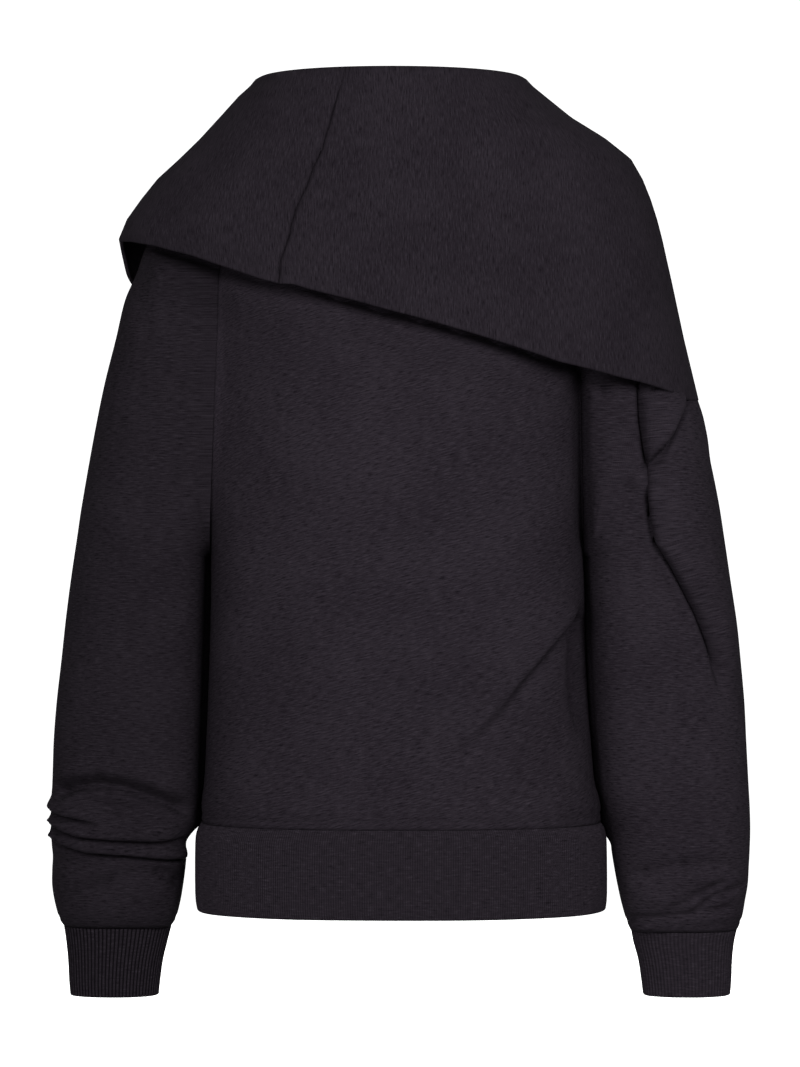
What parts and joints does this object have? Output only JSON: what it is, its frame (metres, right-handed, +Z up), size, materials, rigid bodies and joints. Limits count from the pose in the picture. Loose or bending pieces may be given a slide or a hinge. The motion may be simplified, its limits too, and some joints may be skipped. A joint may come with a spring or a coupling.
{
  "type": "sweatshirt",
  "caption": "Oversized pullover sweatshirt with a large turned-over asymmetric collar, dropped shoulders, long sleeves and ribbed hem and cuffs, filled out with no wearer.",
  "frame": {"origin": "middle of the neckline seam, level with the seam that joins collar and body, where the wearer's neck and shoulders carry the garment", "axes": "+Z up along the body, +X to the right of someone who looks at the back, +Y from the back to the front; the camera of the picture looks along +Y"},
  "size_m": [0.6083, 0.2734, 0.7965],
  "materials": {
    "jersey": "matte heathered cotton jersey, brushed inside",
    "rib_knit": "matte fine rib knit"
  },
  "bodies": {
    "root": {"back_panel": "jersey", "front_panel": "jersey", "sleeve_left": "jersey", "sleeve_right": "jersey", "collar_left": "jersey", "collar_right": "jersey", "hem_rib": "rib_knit", "cuff_left": "rib_knit", "cuff_right": "rib_knit"}
  },
  "joints": []
}
